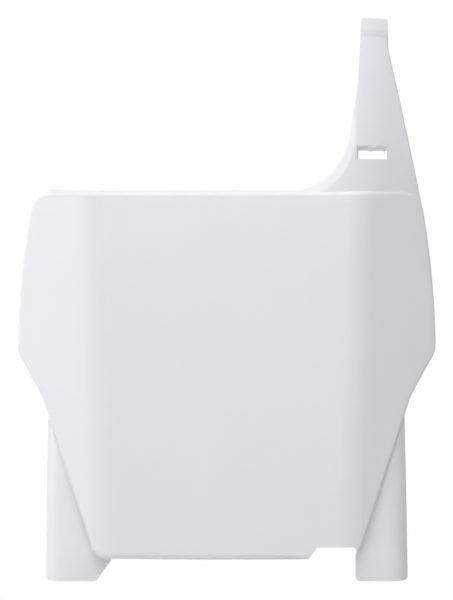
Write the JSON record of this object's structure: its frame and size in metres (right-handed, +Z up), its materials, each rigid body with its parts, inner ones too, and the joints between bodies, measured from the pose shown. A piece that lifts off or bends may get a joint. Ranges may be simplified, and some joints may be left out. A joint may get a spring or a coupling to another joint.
{
  "type": "racing number board",
  "caption": "Moulded shield-shaped number board with swept wings, set-back legs and a side arm ending in a barbed strap that loops through its slot.",
  "frame": {"origin": "middle of the flat number face, on its front skin", "axes": "-Y out of the number face, +Z up the board along the arm, +X to the viewer's right"},
  "size_m": [0.2566, 0.048, 0.3432],
  "materials": {
    "white_polypropylene": "moulded semi-gloss"
  },
  "bodies": {
    "root": {"number_board": "white_polypropylene"}
  },
  "joints": []
}
